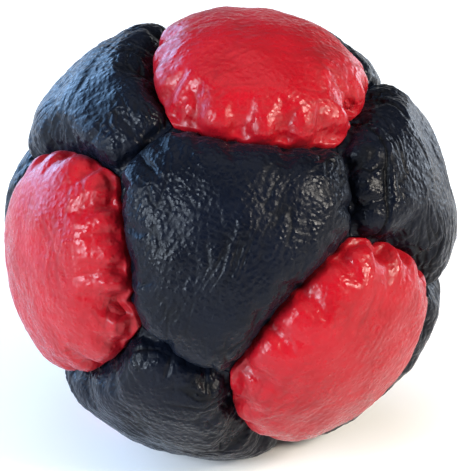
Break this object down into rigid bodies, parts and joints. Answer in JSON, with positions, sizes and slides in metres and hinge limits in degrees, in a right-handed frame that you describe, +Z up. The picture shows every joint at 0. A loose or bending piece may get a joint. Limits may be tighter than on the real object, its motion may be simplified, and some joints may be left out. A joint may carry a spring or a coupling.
{
  "type": "footbag",
  "caption": "Small hand-sewn ball of red and black leather panels with deep rolled seams and a loose pellet filling, for kicking and juggling with the feet.",
  "frame": {"origin": "centre of the base of the bag's bounding box, on the surface that it rests on", "axes": "+Z up, from the flattened resting panel; +X to the right and -Y towards the viewer in the picture"},
  "size_m": [0.0538, 0.054, 0.0533],
  "materials": {
    "red_leather": "glossy split leather with a fine wrinkled grain, deep red",
    "black_leather": "glossy split leather with a fine wrinkled grain, blue-black",
    "thread": "black waxed sewing thread",
    "pellets": "off-white plastic pellets"
  },
  "bodies": {
    "root": {"black_panel_front": "black_leather", "black_panel_left_back": "black_leather", "black_panel_lower_back": "black_leather", "black_panel_lower_front": "black_leather", "black_panel_lower_right": "black_leather", "black_panel_right": "black_leather", "black_panel_upper_back": "black_leather", "black_panel_upper_left": "black_leather", "pellet_fill": "pellets", "red_panel_bottom": "red_leather", "red_panel_left": "red_leather", "red_panel_lower_right": "red_leather", "red_panel_right_back": "red_leather", "red_panel_thread_bottom": "thread", "red_panel_thread_left": "thread", "red_panel_thread_lower_right": "thread", "red_panel_thread_right_back": "thread", "red_panel_thread_top": "thread", "red_panel_thread_upper_back": "thread", "red_panel_top": "red_leather", "red_panel_upper_back": "red_leather", "thread_front_to_lower_front": "thread", "thread_front_to_right": "thread", "thread_front_to_upper_left": "thread", "thread_left_back_to_lower_back": "thread", "thread_lower_front_to_left_back": "thread", "thread_lower_front_to_lower_right": "thread", "thread_lower_right_to_lower_back": "thread", "thread_right_to_lower_right": "thread", "thread_right_to_upper_back": "thread", "thread_upper_back_to_lower_back": "thread", "thread_upper_left_to_left_back": "thread", "thread_upper_left_to_upper_back": "thread"}
  },
  "joints": []
}
